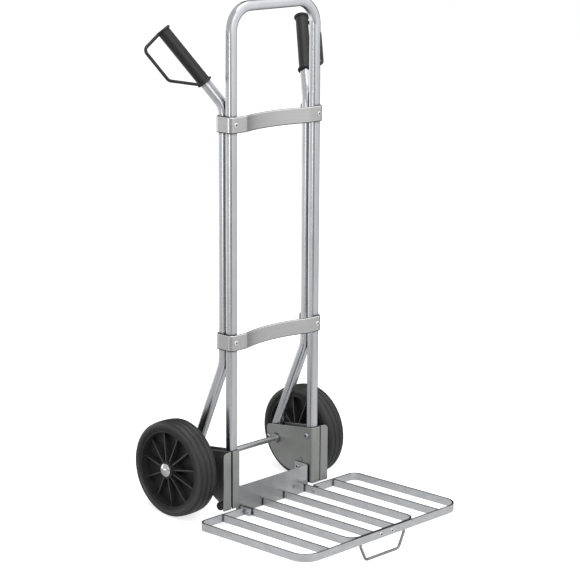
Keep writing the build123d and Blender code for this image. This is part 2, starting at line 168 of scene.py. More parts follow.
class TruckSizes(bpy.types.PropertyGroup):
    """Sizes of the fasteners, of the broken edges and of the tyres' shoulders."""

    strap_edge: FloatProperty(name="Crossbar edge", description="Rounding of the crossbars' edges",
                              default=2.4 * MM, unit="LENGTH")
    sheet_edge: FloatProperty(name="Sheet edge", description="Rounding of bracket and base plate edges",
                              default=0.7 * MM, unit="LENGTH")
    bar_edge: FloatProperty(name="Toe bar edge", description="Rounding of the toe's flat bars",
                            default=1.5 * MM, unit="LENGTH")
    moulded_edge: FloatProperty(name="Moulded edge", description="Rounding of plastic and rubber edges",
                                default=0.9 * MM, unit="LENGTH")
    strap_rivet: FloatProperty(name="Crossbar rivet", description="Head radius of the crossbars' rivets",
                               default=7.2 * MM, unit="LENGTH")
    toe_rivet: FloatProperty(name="Toe rivet", description="Head radius of the toe's front rivets",
                             default=5.7 * MM, unit="LENGTH")
    toe_rivet_spacing: FloatProperty(name="Toe rivet spacing", description="Distance of the front rivets",
                                     default=40 * MM, unit="LENGTH")
    plate_rivet: FloatProperty(name="Plate rivet", description="Radius of the base plate's flush rivet",
                               default=4.6 * MM, unit="LENGTH")
    plate_rivet_place: FloatProperty(name="Plate rivet place", description="Its distance from the middle",
                                     default=76 * MM, unit="LENGTH")
    bolt_washer: FloatProperty(name="Bolt washer", description="Radius of the bracket bolts' washers",
                               default=8 * MM, unit="LENGTH")
    bolt_head: FloatProperty(name="Bolt head", description="Radius of the bracket bolts' button heads",
                             default=6.5 * MM, unit="LENGTH")
    nut_flats: FloatProperty(name="Nut", description="Width of the bracket nuts across their flats",
                             default=13 * MM, unit="LENGTH")
    screw_head: FloatProperty(name="Tab screw", description="Head radius of the base plate's tab screws",
                              default=5.2 * MM, unit="LENGTH")
    flush_rivet: FloatProperty(name="Flush rivet", description="Radius of the brackets' flush rivets",
                               default=5.4 * MM, unit="LENGTH")
    # The dark line in the flanges' seam is painted shade.
    seam_width: FloatProperty(name="Flange seam", description="Width of the grime in the flanges' seam",
                              default=4.0 * MM, unit="LENGTH")
    shoulder_draw: FloatProperty(name="Shoulder", description="How far the tyres' shoulders are drawn in",
                                 default=4.5 * MM, unit="LENGTH")
    turn_steps: IntProperty(name="Turned steps", description="Steps round a turned fastener", default=28)


class TruckFinishes(bpy.types.PropertyGroup):
    """Colours of the finishes, as sRGB hex values."""

    tube: StringProperty(name="Tube", description="Drawn aluminium of the tubes", default="#E6E7EA")
    strap: StringProperty(name="Crossbar", description="Rolled strip of the crossbars", default="#D8D8D8")
    bracket: StringProperty(name="Bracket", description="Sheet of the wheel brackets", default="#B6B8B6")
    base: StringProperty(name="Base", description="Rolled sheet of the base plate", default="#E0E1E2")
    toe: StringProperty(name="Toe", description="Flat bar of the toe", default="#E8E9EB")
    zinc: StringProperty(name="Zinc", description="Zinc plated steel", default="#C6C7C9")
    rivet: StringProperty(name="Rivet", description="Aluminium of the blind rivets", default="#F4F4F4")
    wire: StringProperty(name="Wire", description="Zinc plated wire of the stand", default="#A4A5A7")
    cap: StringProperty(name="Hub cap", description="Polished steel of the hub caps", default="#F2F2F2")
    grip: StringProperty(name="Grip", description="Moulded grips and bumpers", default="#202020")
    rim: StringProperty(name="Rim", description="Moulded rims", default="#333333")
    tyre: StringProperty(name="Tyre", description="Tyre rubber", default="#2A2A2A")
    # The recess colour is painted shade in hollows and seams.
    hole: StringProperty(name="Recess", description="Inside of rivets and sockets", default="#1C1C1C")


class StudioStage(bpy.types.PropertyGroup):
    """Camera and light of the studio."""

    camera_place: FloatVectorProperty(name="Camera", description="Where the camera stands", subtype="XYZ",
                                      unit="LENGTH", default=(-3.86528, -3.47536, 2.1473))
    camera_turn: FloatVectorProperty(name="Camera turn", description="How it is turned", subtype="EULER",
                                     default=(radians(73.4292), radians(-4.3367), radians(-46.299)))
    camera_lens: FloatProperty(name="Lens", description="Focal length on 36 mm film", default=133.544)
    floor_size: FloatProperty(name="Floor", description="Width of the floor", default=14.0, unit="LENGTH")
    world_level: FloatProperty(name="Room light", description="Strength of the light from all round",
                               default=0.35)
    floor_glow: FloatProperty(name="Floor white", description="Light added to see the floor white",
                              default=0.75)
    tent_radius: FloatProperty(name="Tent", description="Distance of the grey cards", default=5.5,
                               unit="LENGTH")
    sky_right: FloatProperty(name="Sky right", description="Level over the right of the camera's view",
                             default=0.95)
    sky_left: FloatProperty(name="Sky left", description="Level over the left of the camera's view",
                            default=0.5)
    card_right: FloatProperty(name="Card right", description="Level of the cards right of the view",
                              default=0.6)
    card_left: FloatProperty(name="Card left", description="Level of the cards left of the view",
                             default=0.45)
    card_back: FloatProperty(name="Card back", description="Share of the light left behind the truck",
                             default=0.1)
    card_strip: FloatProperty(name="Strip", description="Level of the light strip at the back left",
                              default=0.9)
    camera_gap: FloatProperty(name="Camera gap", description="Share of the light left round the camera",
                              default=0.15)
    slim_lamp: FloatProperty(name="Slim lamp", description="Level of the slim lamp far at the left",
                             default=1.8)
    near_front: FloatProperty(name="Near front", description="Level of the card under the toe",
                              default=0.58)
    near_back: FloatProperty(name="Near back", description="Level of the card behind the wheels",
                             default=0.35)


def sizes():
    """The sizes, as the scene holds them."""
    return bpy.context.scene.truck_sizes


def finishes():
    """The colours of the finishes, as the scene holds them."""
    return bpy.context.scene.truck_finishes


def linear(hex_colour):
    """An sRGB hex value as a linear colour with full alpha."""
    parts = [int(hex_colour[i:i + 2], 16) / 255 for i in (1, 3, 5)]
    return [p / 12.92 if p <= 0.04045 else ((p + 0.055) / 1.055) ** 2.4 for p in parts] + [1.0]


def shaded(hex_colour, share):
    """The same colour, darker or lighter by a share of its light."""
    return [min(1.0, part * share) for part in linear(hex_colour)[:3]] + [1.0]


# Materials

def add_node(tree, kind, inputs=None):
    """Adds a node. Each entry links an input to an output, or sets an input's value or a property."""
    node = tree.nodes.new(kind)
    for key, value in (inputs or {}).items():
        if isinstance(value, bpy.types.NodeSocket):
            tree.links.new(value, node.inputs[key])
        elif isinstance(key, int) or key in node.inputs:
            node.inputs[key].default_value = value
        else:
            setattr(node, key, value)
    return node


def empty_tree(owner):
    """The node tree of a material or world, emptied."""
    owner.use_nodes = True
    owner.node_tree.nodes.clear()
    return owner.node_tree


def new_material(name):
    """A material and its node tree, still empty."""
    material = bpy.data.materials.new(name)
    return material, empty_tree(material)


def add_surface(tree, inputs):
    """Ends a material's tree in a Principled shader with these inputs."""
    shader = add_node(tree, "ShaderNodeBsdfPrincipled", inputs)
    add_node(tree, "ShaderNodeOutputMaterial", {"Surface": shader.outputs["BSDF"]})


def grain(tree, size_mm, detail=3.0, turn=(0, 0, 0), rough=0.55):
    """Noise whose cells have the given size in millimetres along the truck's own axes."""
    place = add_node(tree, "ShaderNodeTexCoord")
    scale = [1 / (length * MM) for length in size_mm]
    turned = add_node(tree, "ShaderNodeMapping",
                      {"Vector": place.outputs["Object"], "Rotation": turn, "Scale": scale})
    noise = add_node(tree, "ShaderNodeTexNoise", {"Vector": turned.outputs["Vector"], "Scale": 1.0,
                                                  "Detail": detail, "Roughness": rough})
    return noise.outputs["Fac"]


def mottled(tree, pattern, colour, dark, light, low=0.3, high=0.7):
    """A colour that a pattern takes softly from one share of its light to another."""
    node = add_node(tree, "ShaderNodeValToRGB", {"Fac": pattern})
    ends = node.color_ramp.elements
    for end, position, share in ((ends[0], low, dark), (ends[1], high, light)):
        end.position = position
        end.color = shaded(colour, share)
    return node.outputs["Color"]


def uneven(tree, pattern, low, high):
    """A value that the middle range of a pattern takes from one end to the other."""
    return add_node(tree, "ShaderNodeMapRange", {"Value": pattern, "From Min": 0.3, "From Max": 0.7,
                                                 "To Min": low, "To Max": high}).outputs["Result"]


def changed_where(tree, colour, where, other):
    """The colour, changed to another where a mask is 1."""
    return add_node(tree, "ShaderNodeMix", {"data_type": "RGBA", "Factor": where, "A": colour,
                                            "B": other}).outputs["Result"]


def shade_in_corners(tree, colour):
    """The colour with painted shade: darker where another surface stands close by, in corners and gaps."""
    near = add_node(tree, "ShaderNodeAmbientOcclusion",
                    {"samples": 8, "Distance": SHADE_REACH, "Color": colour})
    dark = add_node(tree, "ShaderNodeMath", {"operation": "POWER", 0: near.outputs["AO"], 1: SHADE_DEPTH})
    mix = add_node(tree, "ShaderNodeMix", {"data_type": "RGBA", "blend_type": "MULTIPLY", "Factor": 1.0,
                                           "A": colour, "B": dark.outputs["Value"]})
    return mix.outputs["Result"]


def facing_up(tree):
    """How far a surface looks up, with the truck stood upright: 1 up, -1 down."""
    place = add_node(tree, "ShaderNodeTexCoord")
    upright = add_node(tree, "ShaderNodeMapping",
                       {"Vector": place.outputs["Normal"], "Rotation": (LEAN, 0, 0)})
    return add_node(tree, "ShaderNodeSeparateXYZ", {"Vector": upright.outputs["Vector"]}).outputs["Z"]


def wheel_reach(tree, place):
    """How far a point lies from the line that both wheels turn about."""
    centred = add_node(tree, "ShaderNodeVectorMath", {"operation": "SUBTRACT", 0: place.outputs["Object"],
                                                      1: (0, AXLE.y, AXLE.z)})
    flat = add_node(tree, "ShaderNodeVectorMath", {"operation": "MULTIPLY", 0: centred.outputs["Vector"],
                                                   1: (0, 1, 1)})
    return add_node(tree, "ShaderNodeVectorMath",
                    {"operation": "LENGTH", 0: flat.outputs["Vector"]}).outputs["Value"]


def from_middle(tree, vector):
    """How far a point lies, or a normal points, to either side of the truck."""
    parts = add_node(tree, "ShaderNodeSeparateXYZ", {"Vector": vector})
    return add_node(tree, "ShaderNodeMath",
                    {"operation": "ABSOLUTE", 0: parts.outputs["X"]}).outputs["Value"]


def drawn_aluminium():
    """Drawn tube, satin: fine lines along the tube blur what it mirrors into soft stripes."""
    material, tree = new_material("Satin drawn aluminium tube")
    lines = grain(tree, (5, 5, 400), turn=(LEAN, 0, 0))
    cloud = grain(tree, (60, 60, 90))
    body = mottled(tree, cloud, finishes().tube, 0.93, 1.03)
    add_surface(tree, {"Base Color": shade_in_corners(tree, body), "Roughness": uneven(tree, lines, 0.22, 0.25),
                       "Metallic": 1.0})
    return material


def rolled_strip():
    """Rolled strip, satin: even mid grey with faint lines, a painted highlight round its upper edge, and
    painted shade on its top face and along its lower edge.
    """
    material, tree = new_material("Satin rolled aluminium strip")
    lines = grain(tree, (140, 140, 2.5))
    colour = finishes().strap
    up = facing_up(tree)
    # Painted shade where the strip looks up or down, and a painted highlight on the rounding of its upper
    # edge
    top = add_node(tree, "ShaderNodeMapRange", {"Value": up, "From Min": 0.68, "From Max": 0.76})
    under = add_node(tree, "ShaderNodeMapRange", {"Value": up, "From Min": -0.1, "From Max": -0.35})
    painted_shade_edges = add_node(tree, "ShaderNodeMath", {"operation": "ADD", 0: top.outputs["Result"],
                                                1: under.outputs["Result"]})
    painted_highlight_edge = add_node(tree, "ShaderNodeMapRange", {"Value": up, "From Min": 0.15, "From Max": 0.35})
    body = mottled(tree, lines, colour, 0.97, 1.02)
    body = changed_where(tree, body, painted_highlight_edge.outputs["Result"], shaded(colour, 1.45))
    body = changed_where(tree, body, painted_shade_edges.outputs["Value"], shaded(colour, 0.06))
    add_surface(tree, {"Base Color": shade_in_corners(tree, body), "Roughness": uneven(tree, lines, 0.26, 0.32),
                       "Metallic": 1.0})
    return material


def pressed_sheet():
    """Pressed sheet, dull: cloudy grey with next to no grain."""
    material, tree = new_material("Dull pressed aluminium sheet")
    cloud = grain(tree, (35, 35, 50))
    body = mottled(tree, cloud, finishes().bracket, 0.92, 1.06)
    add_surface(tree, {"Base Color": shade_in_corners(tree, body), "Roughness": uneven(tree, cloud, 0.38, 0.48),
                       "Metallic": 1.0})
    return material


def rolled_sheet():
    """Bright rolled sheet: wide soft bands run slantwise over it, lighter and darker."""
    material, tree = new_material("Bright rolled aluminium sheet")
    # Bands about 55 mm wide, set slantwise
    bands = grain(tree, (110, 1000, 900), detail=1.0, turn=(0, radians(38), 0), rough=0.5)
    body = mottled(tree, bands, finishes().base, 0.6, 1.12, 0.38, 0.62)
    add_surface(tree, {"Base Color": shade_in_corners(tree, body), "Roughness": uneven(tree, bands, 0.3, 0.2),
                       "Metallic": 1.0})
    return material


def flat_bar():
    """Flat bar, satin on its wide faces; its narrow sheared edges, which look up and down, are darker with
    painted shade.
    """
    material, tree = new_material("Satin aluminium flat bar")
    cloud = grain(tree, (30, 30, 12))
    colour = finishes().toe
    # Painted shade on the narrow edges that look up or down
    level = add_node(tree, "ShaderNodeMath", {"operation": "ABSOLUTE", 0: facing_up(tree)})
    edge = add_node(tree, "ShaderNodeMapRange", {"Value": level.outputs["Value"], "From Min": 0.25,
                                                 "From Max": 0.6})
    body = mottled(tree, cloud, colour, 0.9, 1.05)
    body = changed_where(tree, body, edge.outputs["Result"], shaded(colour, 0.22))
    add_surface(tree, {"Base Color": shade_in_corners(tree, body), "Roughness": uneven(tree, cloud, 0.3, 0.42),
                       "Metallic": 1.0})
    return material


def frosted_metal(name, cell_mm, colour, shades, roughness, metallic=1.0):
    """A metal with a fine even pattern, which changes its colour and its roughness together."""
    material, tree = new_material(name)
    frost = grain(tree, (cell_mm, cell_mm, cell_mm), detail=2.0)
    add_surface(tree, {"Base Color": mottled(tree, frost, colour, *shades),
                       "Roughness": uneven(tree, frost, *roughness), "Metallic": metallic})
    return material


def zinc_plate():
    """Zinc plated steel: bright, with the faint spangle of the plating."""
    return frosted_metal("Zinc plated steel", 4, finishes().zinc, (0.85, 1.05), (0.2, 0.32))


def tumbled_rivet():
    """Tumbled aluminium: a pale, frosted head that is light from every side."""
    return frosted_metal("Tumbled aluminium rivet", 1.5, finishes().rivet, (0.92, 1.05), (0.3, 0.42), 0.35)


def drawn_wire():
    """Drawn steel wire under thin zinc: greyer and duller than the plated fasteners."""
    return frosted_metal("Zinc plated steel wire", 12, finishes().wire, (0.85, 1.05), (0.3, 0.4))


def polished_cap():
    """Pressed and polished steel: a clear mirror with slight waviness."""
    material, tree = new_material("Polished steel cap")
    wave = grain(tree, (9, 9, 9), detail=1.0)
    bump = add_node(tree, "ShaderNodeBump", {"Height": wave, "Strength": 0.08, "Distance": 0.4 * MM})
    add_surface(tree, {"Base Color": linear(finishes().cap), "Metallic": 1.0,
                       "Roughness": uneven(tree, wave, 0.1, 0.16),
                       "Normal": bump.outputs["Normal"]})
    return material


def moulded_grip():
    """Moulded PVC, satin: near black with a fine leathery mould texture and a soft sheen."""
    material, tree = new_material("Moulded PVC grip")
    # The mould's grain is about 0.4 mm; it is drawn at 1.2 mm so that it shows at all.
    texture = grain(tree, (1.2, 1.2, 1.2), detail=2.0)
    bump = add_node(tree, "ShaderNodeBump", {"Height": texture, "Strength": 0.25, "Distance": 0.3 * MM})
    add_surface(tree, {"Base Color": linear(finishes().grip),
                       "Roughness": uneven(tree, texture, 0.42, 0.55),
                       "Normal": bump.outputs["Normal"]})
    return material


def moulded_rim():
    """Moulded polypropylene: soft black with a slight sheen, and a painted highlight on the sideways faces
    of its ribs.
    """
    material, tree = new_material("Moulded polypropylene rim")
    cloud = grain(tree, (14, 14, 14), detail=2.0)
    colour = finishes().rim
    place = add_node(tree, "ShaderNodeTexCoord")
    edge = add_node(tree, "ShaderNodeMapRange", {"Value": from_middle(tree, place.outputs["Normal"]),
                                                 "From Min": 0.6, "From Max": 0.9})
    on_web = add_node(tree, "ShaderNodeMath", {
        "operation": "COMPARE", 0: from_middle(tree, place.outputs["Object"]), 1: tyre_section()[0],
        2: WEB_HALF})
    proud = add_node(tree, "ShaderNodeMath", {"operation": "SUBTRACT", "use_clamp": True,
                                              0: edge.outputs["Result"], 1: on_web.outputs["Value"]})
    # Between the hub and the ring that carries the tyre
    on_ribs = add_node(tree, "ShaderNodeMath", {
        "operation": "COMPARE", 0: wheel_reach(tree, place), 1: (RIBS_START + RIBS_END) / 2,
        2: (RIBS_END - RIBS_START) / 2})
    # Painted highlight on the ribs' sideways faces, away from the web
    painted_rib_highlight = add_node(tree, "ShaderNodeMath", {"operation": "MULTIPLY", 0: proud.outputs["Value"],
                                               1: on_ribs.outputs["Value"]})
    body = mottled(tree, cloud, colour, 0.8, 1.15)
    body = changed_where(tree, body, painted_rib_highlight.outputs["Value"], shaded(colour, 2.6))
    add_surface(tree, {"Base Color": body, "Roughness": uneven(tree, cloud, 0.3, 0.4)})
    return material


def tyre_rubber():
    """Solid rubber: dark grey, with a paler band of painted light round the side and grooves blackened
    with painted shade.
    """
    material, tree = new_material("Solid rubber tyre")
    cloud = grain(tree, (18, 18, 18), detail=4.0)
    colour = finishes().tyre
    low, high = upright_box("tyre_right")
    outer = (high.z - low.z) / 2
    middle, half, tread = tyre_section()
    shoulder = drawn_in(tread, half)
    # Both tyres turn about the same line and lie as far out, so one material serves them.
    place = add_node(tree, "ShaderNodeTexCoord")
    radius = wheel_reach(tree, place)
    out = from_middle(tree, place.outputs["Object"])
    aside = add_node(tree, "ShaderNodeMath", {"operation": "SUBTRACT", 0: out, 1: middle}).outputs["Value"]
    squared = add_node(tree, "ShaderNodeMath", {"operation": "MULTIPLY", 0: aside, 1: aside})
    # The tread falls off towards its shoulders, and a groove's depth is counted from there.
    levelled = add_node(tree, "ShaderNodeMath", {"operation": "MULTIPLY_ADD", 0: squared.outputs["Value"],
                                                 1: TREAD_FALL / shoulder ** 2, 2: radius})
    # Painted shade in the grooves of the tread
    groove = add_node(tree, "ShaderNodeMapRange", {"Value": levelled.outputs["Value"],
                                                   "From Min": outer - GROOVE_SHADE[0],
                                                   "From Max": outer - GROOVE_SHADE[1]})
    on_tread = add_node(tree, "ShaderNodeMath", {"operation": "COMPARE", 0: out, 1: middle,
                                                 2: shoulder - TREAD_MARGIN})
    in_groove = add_node(tree, "ShaderNodeMath", {"operation": "MULTIPLY", 0: groove.outputs["Result"],
                                                  1: on_tread.outputs["Value"]})
    # The side band, paler with painted light, lies between the rim and the shoulder.
    band = add_node(tree, "ShaderNodeMapRange", {"Value": radius, "From Min": outer - SIDE_BAND[0],
                                                 "From Max": outer - SIDE_BAND[1]})
    body = mottled(tree, cloud, colour, 0.95, 1.25)
    body = changed_where(tree, body, in_groove.outputs["Value"], shaded(colour, 0.05))
    body = changed_where(tree, body, band.outputs["Result"], shaded(colour, 2.3))
    bump = add_node(tree, "ShaderNodeBump", {"Height": cloud, "Strength": 0.1, "Distance": 0.4 * MM})
    add_surface(tree, {"Base Color": body, "Roughness": uneven(tree, cloud, 0.36, 0.48),
                       "Normal": bump.outputs["Normal"]})
    return material


def dark_recess():
    """Painted shade deep in a rivet, a socket or a flange seam, where bare steel lies in shade: almost
    black, dull.
    """
    material, tree = new_material("Dark recess")
    cloud = grain(tree, (2, 2, 2))
    add_surface(tree, {"Base Color": mottled(tree, cloud, finishes().hole, 0.7, 1.2), "Roughness": 0.7})
    return material


FINISHES = {
    "tube_aluminium": drawn_aluminium,
    "strap_aluminium": rolled_strip,
    "bracket_aluminium": pressed_sheet,
    "base_aluminium": rolled_sheet,
    "toe_aluminium": flat_bar,
    "zinc_steel": zinc_plate,
    "wire_steel": drawn_wire,
    "cap_steel": polished_cap,
    "grip_plastic": moulded_grip,
    "rim_plastic": moulded_rim,
    "tyre_rubber": tyre_rubber,
    "bumper_rubber": moulded_grip,
    "rivet": tumbled_rivet,
    "recess": dark_recess,
}
made_finishes = {}


def finish_of(slot):
    """The material of a slot, made once; grips and bumpers share theirs."""
    maker = FINISHES[slot]
    if maker not in made_finishes:
        made_finishes[maker] = maker()
    return made_finishes[maker]


# Pieces

@cache
def upright_box(node):
    """Lowest and highest corner of a CAD node with the truck stood upright."""
    corners = [UPRIGHT @ vertex.co for vertex in frame["nodes"][node].data.vertices]
    low = Vector([min(corner[axis] for corner in corners) for axis in range(3)])
    high = Vector([max(corner[axis] for corner in corners) for axis in range(3)])
    return low, high


def upright_middle():
    """Distance of the uprights' middle from the truck's middle."""
    return (upright_box("rear_tube_right")[0].x + upright_box("front_frame")[1].x) / 2


def tyre_section():
    """Middle of the tyres' width, half of it, and half the width of their tread before it is drawn in."""
    low, high = upright_box("tyre_right")
    half = (high.x - low.x) / 2
    return (low.x + high.x) / 2, half, half - SHOULDER_WIDTH


def drawn_in(aside, half):
    """How far a point of the tread lies from the tyre's middle once the shoulders are drawn in."""
    return aside - sizes().shoulder_draw * (aside / half) ** 3


def slope_sides(bm):
    """Slopes a tyre's sides from the rim to the tread, softly round the shoulder."""
    middle, half, _ = tyre_section()
    reaches = {vert: (vert.co - AXLE).yz.length for vert in bm.verts}
    inner = min(reaches.values())
    for vert, reach in reaches.items():
        aside = abs(vert.co.x) - middle
        share = min(1.0, (reach - inner) / SLOPE_HEIGHT) ** 2
        moved = aside + (drawn_in(aside, half) - aside) * share
        vert.co.x = (middle + moved) * (1 if vert.co.x > 0 else -1)


def in_flange_seam(point):
    """Whether a place lies in the seam of a bracket's flanges, which gets painted shade and is seen from
    the front as a dark line.
    """
    low, high = upright_box("inner_cheek_right")
    beside = abs(point.x) - high.x
    return point.y < low.y + SEAM_DEPTH and -SEAM_SLACK < beside < sizes().seam_width


def add_piece(name, bm, body, materials, crease):
    """Makes an object from a bmesh, smooth up to the crease angle, that moves with a body."""
    mesh = bpy.data.meshes.new(name)
    bm.to_mesh(mesh)
    bm.free()
    for material in materials:
        mesh.materials.append(material)
    mesh.shade_smooth()
    mesh.set_sharp_from_angle(angle=radians(crease))
    piece = bpy.data.objects.new(name, mesh)
    bpy.context.scene.collection.objects.link(piece)
    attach(piece, body)
    return piece


def finish_node(node, edge=0.0, crease=CREASE, shaded_where=None, reshape=None):
    """A merged copy of a CAD node with smooth curves, broken edges, its finish, and painted shade in its
    seams.
    """
    source = frame["nodes"][node]
    bm = bmesh.new()
    bm.from_mesh(source.data)
    bmesh.ops.remove_doubles(bm, verts=bm.verts, dist=MERGE)
    if edge:
        bmesh.ops.dissolve_limit(bm, angle_limit=FLAT, use_dissolve_boundaries=False,
                                 verts=bm.verts, edges=bm.edges, delimit={"NORMAL"})
    if reshape:
        reshape(bm)
    slot = SLOTS[node]
    materials = [finish_of(slot)]
    # Painted shade on the faces that the mask picks out
    if shaded_where:
        materials.append(finish_of("recess"))
        for face in bm.faces:
            face.material_index = int(shaded_where(UPRIGHT @ face.calc_center_median()))
    piece = add_piece(node + "_finished", bm, source["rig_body"], materials, crease)
    if edge:
        rounding = piece.modifiers.new("Broken edges", "BEVEL")
        rounding.width = edge
        rounding.segments = 3
        rounding.limit_method = "ANGLE"
        rounding.angle_limit = radians(crease)
    flats = piece.modifiers.new("Flat faces stay flat", "WEIGHTED_NORMAL")
    flats.keep_sharp = True
    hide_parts(node)


def turned_fastener(profile):
    """Turns a half section of (radius, height) in metres about Z."""
    bm = bmesh.new()
    points = [bm.verts.new((radius, 0, height)) for radius, height in profile]
    lines = [bm.edges.new(pair) for pair in zip(points, points[1:])]
    bmesh.ops.spin(bm, geom=points + lines, cent=(0, 0, 0), axis=(0, 0, 1), angle=2 * pi,
                   steps=sizes().turn_steps, use_merge=True)
    bmesh.ops.remove_doubles(bm, verts=bm.verts, dist=MERGE)
    bmesh.ops.recalc_face_normals(bm, faces=bm.faces)
    return bm


def darken_inside(bm, radius, height):
    """Gives the second material, painted shade, to the faces inside a radius and below a height."""
    for face in bm.faces:
        middle = face.calc_center_median()
        if middle.xy.length < radius and middle.z < height:
            face.material_index = 1


def set_in_places(template, places):
    """One bmesh with a copy of the template at each place, all in the parked stance."""
    mesh = bpy.data.meshes.new("template")
    template.to_mesh(mesh)
    template.free()
    whole = bmesh.new()
    for place in places:
        before = len(whole.verts)
        whole.from_mesh(mesh)
        whole.verts.ensure_lookup_table()
        bmesh.ops.transform(whole, matrix=PARKED @ place, verts=whole.verts[before:])
    bpy.data.meshes.remove(mesh)
    return whole


def facing(point, outwards):
    """A place whose Z points outwards."""
    turn = Vector(outwards).to_track_quat("Z", "Y").to_matrix().to_4x4()
    return Matrix.Translation(point) @ turn


def on_bracket(side, across, place):
    """A place beside a bracket, so far across, back and up, that faces the truck's middle."""
    low = upright_box("inner_cheek_right")[0]
    back, up = place
    return facing((side * across, low.y + back, low.z + up), (-side, 0, 0))


def blind_rivet(head):
    """Low domed head with the hole of its mandrel, dark with painted shade."""
    hole = head * 0.44
    profile = [(head * out, head * up) for out, up in RIVET_DOME]
    profile += [(hole * 1.15, 0.33 * head), (hole, 0.28 * head), (hole * 0.92, 0.02 * head),
                (0, 0.02 * head)]
    bm = turned_fastener(profile)
    darken_inside(bm, hole * 1.02, 0.15 * head)
    return bm


def socket_screw(head, height, washer=0.0, washer_height=0.0):
    """Button head with a six-sided socket, dark with painted shade, on a washer if one is given."""
    socket = head * 0.55
    bottom = washer_height + height * 0.35
    top = washer_height + height
    profile = []
    if washer:
        profile = [(washer, 0), (washer, washer_height * 0.8), (washer * 0.96, washer_height)]
    profile += [(head, washer_height), (head, washer_height + height * 0.3),
                (head * 0.88, washer_height + height * 0.7), (head * 0.68, top), (socket, top),
                (socket, bottom), (0, bottom)]
    bm = turned_fastener(profile)
    for vert in bm.verts:
        reach = vert.co.xy.length
        if abs(reach - socket) < TOUCH:
            angle = atan2(vert.co.y, vert.co.x) % (pi / 3) - pi / 6
            vert.co.xy *= cos(pi / 6) / cos(angle)
    darken_inside(bm, socket, top * 0.98)
    return bm


def hex_nut(flats, height, tail):
    """Hexagon nut with broken corners and the bolt's end standing out of it."""
    bm = bmesh.new()
    corner = flats / 2 / cos(pi / 6)
    bmesh.ops.create_cone(bm, cap_ends=True, segments=6, radius1=corner, radius2=corner, depth=height)
    bmesh.ops.translate(bm, vec=(0, 0, height / 2), verts=bm.verts)
    rim = [edge for edge in bm.edges if all(vert.co.z > height * 0.9 for vert in edge.verts)]
    bmesh.ops.bevel(bm, geom=rim, offset=height * 0.12, offset_type="OFFSET", segments=2, profile=0.5,
                    affect="EDGES", material=-1)
    end = bmesh.ops.create_cone(bm, cap_ends=True, segments=sizes().turn_steps, radius1=flats * 0.3,
                                radius2=flats * 0.26, depth=tail)
    bmesh.ops.translate(bm, vec=(0, 0, height + tail / 2), verts=end["verts"])
    return bm


def flush_rivet(radius):
    """Rivet hammered flat, with painted shade as the dark ring of its countersink."""
    ring = radius * 0.82
    profile = [(radius, 0), (radius, 0.2 * MM), (ring, 0.2 * MM), (ring * 0.98, 0.5 * MM), (0, 0.7 * MM)]
    bm = turned_fastener(profile)
    for face in bm.faces:
        face.material_index = int(face.calc_center_median().xy.length > ring * 0.97)
    return bm


def fasteners(name, template, places, body, slot="zinc_steel", finish=None):
    """A set of like fasteners as one piece, with painted shade where they are hollow."""
    materials = [finish_of(finish or slot), finish_of("recess")]
    add_piece(name, set_in_places(template, places), body, materials, FASTENER_CREASE)


class TRUCK_OT_tubes(bpy.types.Operator):
    """Finish the front frame and the rear tubes"""
    bl_idname = "truck.tubes"
    bl_label = "Tubes"

    def execute(self, context):
        for node in ("front_frame", "rear_tube_left", "rear_tube_right"):
            finish_node(node)
        return {"FINISHED"}


class TRUCK_OT_crossbars(bpy.types.Operator):
    """Finish the crossbars and set their rivets"""
    bl_idname = "truck.crossbars"
    bl_label = "Crossbars"

    def execute(self, context):
        places = []
        upright_x = upright_middle()
        for node in ("upper_crossbar", "lower_crossbar"):
            finish_node(node, sizes().strap_edge, BAR_CREASE)
            low, high = upright_box(node)
            height = (low.z + high.z) / 2
            for side in SIDES:
                places.append(facing((side * upright_x, low.y, height), (0, -1, 0)))
                places.append(facing((side * upright_x, high.y, height), (0, 1, 0)))
        fasteners("crossbar_rivets", blind_rivet(sizes().strap_rivet), places, "frame", finish="rivet")
        return {"FINISHED"}


class TRUCK_OT_grips(bpy.types.Operator):
    """Finish the grips and their guards"""
    bl_idname = "truck.grips"
    bl_label = "Grips"

    def execute(self, context):
        for side in SIDE_NAMES:
            finish_node("grip_" + side, crease=MOULDED_CREASE)
        return {"FINISHED"}


class TRUCK_OT_brackets(bpy.types.Operator):
    """Finish the wheel brackets and set their bolts, nuts and flush rivets"""
    bl_idname = "truck.brackets"
    bl_label = "Brackets"

    def execute(self, context):
        for side in SIDE_NAMES:
            finish_node("inner_cheek_" + side, sizes().sheet_edge, shaded_where=in_flange_seam)
            finish_node("outer_cheek_" + side, sizes().sheet_edge, shaded_where=in_flange_seam)
            finish_node("bumper_" + side, sizes().moulded_edge)
        low = upright_box("inner_cheek_right")[0]
        outer = 2 * upright_middle() - low.x
        heads, nuts = [], []
        for back, up in BOLT_PLACES:
            for side in SIDES:
                heads.append(on_bracket(side, low.x, (back, up)))
                nuts.append(facing((side * outer, low.y + back, low.z + up), (side, 0, 0)))
        head = socket_screw(sizes().bolt_head, BOLT_HEAD_HEIGHT, sizes().bolt_washer, WASHER_HEIGHT)
        nut = hex_nut(sizes().nut_flats, NUT_HEIGHT, BOLT_END_HEIGHT)
        fasteners("bracket_bolts", head, heads, "frame")
        fasteners("bracket_nuts", nut, nuts, "frame")
        flush = [on_bracket(side, low.x, FLUSH_RIVET_PLACE) for side in SIDES]
        fasteners("bracket_flush_rivets", flush_rivet(sizes().flush_rivet), flush, "frame",
                  "bracket_aluminium")
        return {"FINISHED"}


class TRUCK_OT_wheels(bpy.types.Operator):
    """Finish the wheels, the axle and the hub caps"""
    bl_idname = "truck.wheels"
    bl_label = "Wheels"

    def execute(self, context):
        finish_node("axle")
        for side in SIDE_NAMES:
            finish_node("tyre_" + side, crease=MOULDED_CREASE, reshape=slope_sides)
            finish_node("rim_" + side, sizes().moulded_edge)
            finish_node("wheel_bearing_" + side)
            finish_node("axle_sleeve_" + side, sizes().sheet_edge)
            finish_node("hub_cap_" + side, sizes().sheet_edge)
        return {"FINISHED"}


